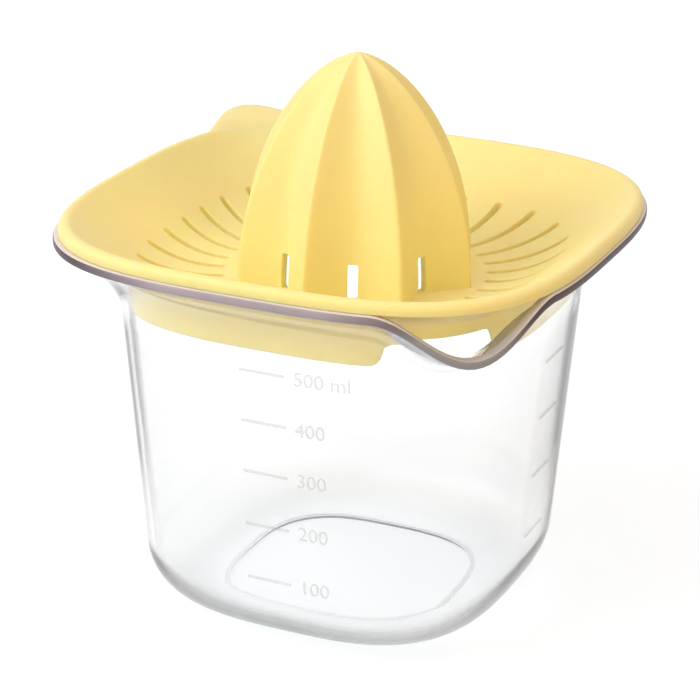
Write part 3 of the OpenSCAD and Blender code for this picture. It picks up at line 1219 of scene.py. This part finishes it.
for a in map(math.radians, fillet_turns):
    out = fillet_r * (1 - math.sin(a))
    lift = fillet_r * (1 - math.cos(a))
    rings.append(juicer_ring(cone_shape(cone_r, cone_h, lift, out)))
cone_drains = len(rings)
rings += [juicer_ring(cone_shape(cone_r, cone_h, z), gap, drain_sectors) for z, gap in drains]
flanks = [cone_h * math.sin(tip_turn * k / cone_steps) for k in range(1, cone_steps + 1)]
rings += [juicer_ring(cone_shape(cone_r, cone_h, z)) for z in flanks if z > drain_h + cone_clear]
print("rings to the cone's tip:", len(rings))

# %% [markdown]
# ### Slots and drains
# Each opening goes through the shell, so the faces between its two columns are deleted on both skins, and
# the two loops of edges that are left are bridged to make its walls. A Solidify modifier could make such
# walls too, but here the shell already has both its skins. The outer edges are then rounded.

# %% Openings
def opening_edges(bm, pair, first, count):
    """Cuts an opening between a pair of columns, over some rows, and gives its edges."""
    row = bm.verts.layers.int["row"]
    rows = range(first, first + count)
    verts = [v for v in pair if v[row] in rows]
    inside = set(verts)
    faces = {f for v in verts for f in v.link_faces if inside.issuperset(f.verts)}
    bmesh.ops.delete(bm, geom=list(faces), context="FACES")
    edges = {e for v in verts for e in v.link_edges}
    return [e for e in edges if e.is_boundary and inside.issuperset(e.verts)]


def cut_openings(bm, pair, first, second, count):
    """Opens both skins of the shell and bridges the two loops of edges. Gives the outer edges."""
    outer = opening_edges(bm, pair, first, count)
    inner = opening_edges(bm, pair, second, count)
    bmesh.ops.bridge_loops(bm, edges=outer + inner)
    return outer


# %% Juicer skin
bm = loft(juicer_columns, rings)
bore_edges = row_edges(bm, {bore_edge})
seat_edges = row_edges(bm, {seat_row})
column = bm.verts.layers.int["column"]
pairs = [[] for _ in range(sectors)]
for vert in bm.verts:
    sector, place = divmod(vert[column], sector_columns)
    if place in (sector_columns // 2 - 1, sector_columns // 2):
        pairs[sector].append(vert)
slot_edges = []
for sector in slot_sectors:
    slot_edges += cut_openings(bm, pairs[sector], top_slots, under_slots, len(slots))
drain_edges = []
for sector in drain_sectors:
    drain_edges += cut_openings(bm, pairs[sector], cone_drains, bore_drains, len(drains))
close_ends(bm, len(rings) - 1)
print("slots:", len(slot_sectors), "drains:", len(drain_sectors))
print("open edges:", sum(e.is_boundary for e in bm.edges))

# %% Juicer body
slot_round = 0.22 * MM
drain_round = 0.1 * MM
bore_round = 0.35 * MM
seat_round = 1.1 * MM

round_edges(bm, slot_edges, slot_round, segments=2)
round_edges(bm, drain_edges, drain_round, segments=2)
round_edges(bm, bore_edges, bore_round, segments=2)
round_edges(bm, seat_edges, seat_round, segments=4)
juicer = add_piece(bm, "juicer_body", [yellow], sharp_angle=55)
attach(juicer, "juicer")
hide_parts("juicer")

# %% [markdown]
# ## Floor and backdrop
# The tool stands on a white table before white paper. The floor keeps the soft shadow at the foot, so it is
# a real matt surface. It could be lit until it is white, but then the juicer would be too bright. So it
# also glows, more so further away, and only to rays that see it directly, in a gloss or through plastic.

# %% Seen rays
def seen_directly(tree):
    """Output that is 1 for rays from the camera, from a gloss or through clear plastic."""
    light = tree.nodes.new("ShaderNodeLightPath")
    total = light.outputs["Is Camera Ray"]
    for name in ("Is Glossy Ray", "Is Transmission Ray"):
        total = combine(tree, "MAXIMUM", total, light.outputs[name])
    return total


# %% Floor
floor_side = 6
floor_drop = 0.1 * MM
paper_grey = (0.585, 0.62, 0.655)
paper_pale = (0.605, 0.64, 0.675)
near_glow = (0.53, 0.56, 0.59)
far_glow = (0.91, 0.95, 1)
glow_reach = (0.4, 1.4)


def floor_paper():
    material, tree, shader, _ = new_material("white paper")
    surface = add_surface(tree, flow_size=300 * MM, grain_size=2 * MM)
    distance = spread_value(tree, add_place(tree)["Reach"], 0, 1, glow_reach)
    feed(tree, shader, {
        "Base Color": blend_colours(tree, surface["Flow"], paper_grey, paper_pale),
        "Roughness": 1,
        "Specular IOR Level": 0,
        "Emission Color": blend_colours(tree, distance, near_glow, far_glow),
        "Emission Strength": seen_directly(tree),
    })
    return material


bm = bmesh.new()
bmesh.ops.create_grid(bm, x_segments=2, y_segments=2, size=floor_side / 2)
bmesh.ops.translate(bm, verts=bm.verts, vec=(0, 0, -floor_drop))
floor = add_piece(bm, "floor", [floor_paper()], sharp_angle=30)

# %% World
white = (1, 1, 1)
fill_colour = (0.37, 0.275, 0.20)
world = bpy.data.worlds.new("studio")
scene.world = world
world.use_nodes = True
backdrop = world.node_tree.nodes["Background"]
level = blend_colours(world.node_tree, seen_directly(world.node_tree), fill_colour, white)
world.node_tree.links.new(level, backdrop.inputs["Color"])
print("world: fill", fill_colour)

# %% [markdown]
# ## Light
# The key light is broad and comes from the left, as the bright left sides of the cone show, and a second
# broad lamp hangs above. Two smaller warm lamps, to the right and in front, keep shaded sides from going
# grey. A single lamp with a bright world could do, but its shadows would be either hard or flat. Light
# crosses the wall of a clear jug many times, so it is given more bounces than usual.

# %% Lamps
def add_lamp(name, toward, distance, size, power, colour):
    """A square lamp that looks at the juicer from a direction."""
    data = bpy.data.lights.new(name, "AREA")
    data.size = size
    data.energy = power
    data.color = colour
    lamp = bpy.data.objects.new(name, data)
    lamp.location = view_target + distance * toward.normalized()
    lamp.rotation_euler = toward.to_track_quat("Z", "Y").to_euler()
    lamp.visible_transmission = False
    scene.collection.objects.link(lamp)
    print(name, [round(c, 2) for c in lamp.location], power, "W")


from_left = -0.8 * right + 0.5 * back + 0.4 * up
from_above = Vector((0, 0, 1))
from_right = 0.75 * right + 0.6 * back - 0.12 * up
from_front = 0.35 * right + 0.93 * back - 0.2 * up
orange = (1, 0.55, 0.24)
amber = (1, 0.72, 0.37)
add_lamp("key", from_left, distance=1.4, size=1.2, power=13.0, colour=white)
add_lamp("top", from_above, distance=1.4, size=1.4, power=8.2, colour=white)
add_lamp("warm reflector", from_right, distance=0.8, size=0.7, power=0.62, colour=orange)
add_lamp("front card", from_front, distance=0.8, size=0.6, power=1.9, colour=amber)

# %% View and bounces
bounces = 48
scene.view_settings.view_transform = "Standard"
scene.cycles.max_bounces = bounces
scene.cycles.transmission_bounces = bounces
print("view:", scene.view_settings.view_transform, "bounces:", bounces)
